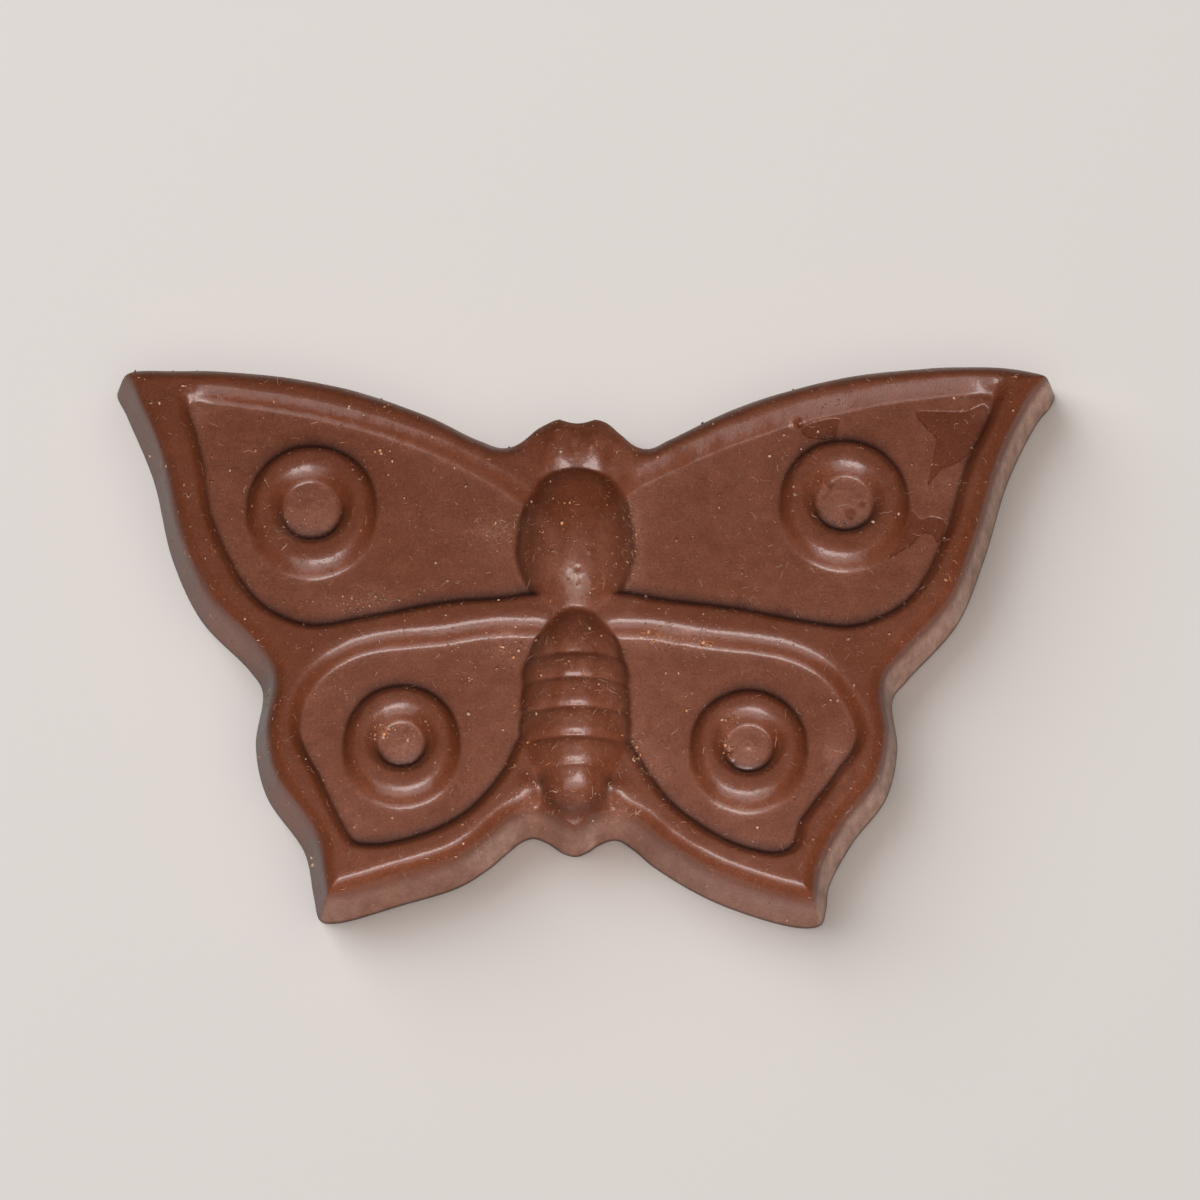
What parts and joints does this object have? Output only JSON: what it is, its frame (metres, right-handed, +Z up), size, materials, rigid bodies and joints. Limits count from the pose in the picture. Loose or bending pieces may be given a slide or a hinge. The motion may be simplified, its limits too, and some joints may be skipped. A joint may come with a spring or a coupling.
{
  "type": "moulded chocolate butterfly",
  "caption": "Solid moulded milk chocolate butterfly with a flat back, rimmed wings with ring-shaped eyespots and a raised segmented body.",
  "frame": {"origin": "centre of the bounding box on the flat back, which lies on the table", "axes": "+X across the wings to the side that the viewer sees on the right, +Y from the tail to the head, +Z up out of the moulded face"},
  "size_m": [0.0808, 0.0486, 0.01],
  "materials": {
    "milk_chocolate": "moulded milk chocolate, satin gloss with faint bloom, scuffs and pale crumbs"
  },
  "bodies": {
    "root": {"butterfly": "milk_chocolate"}
  },
  "joints": []
}
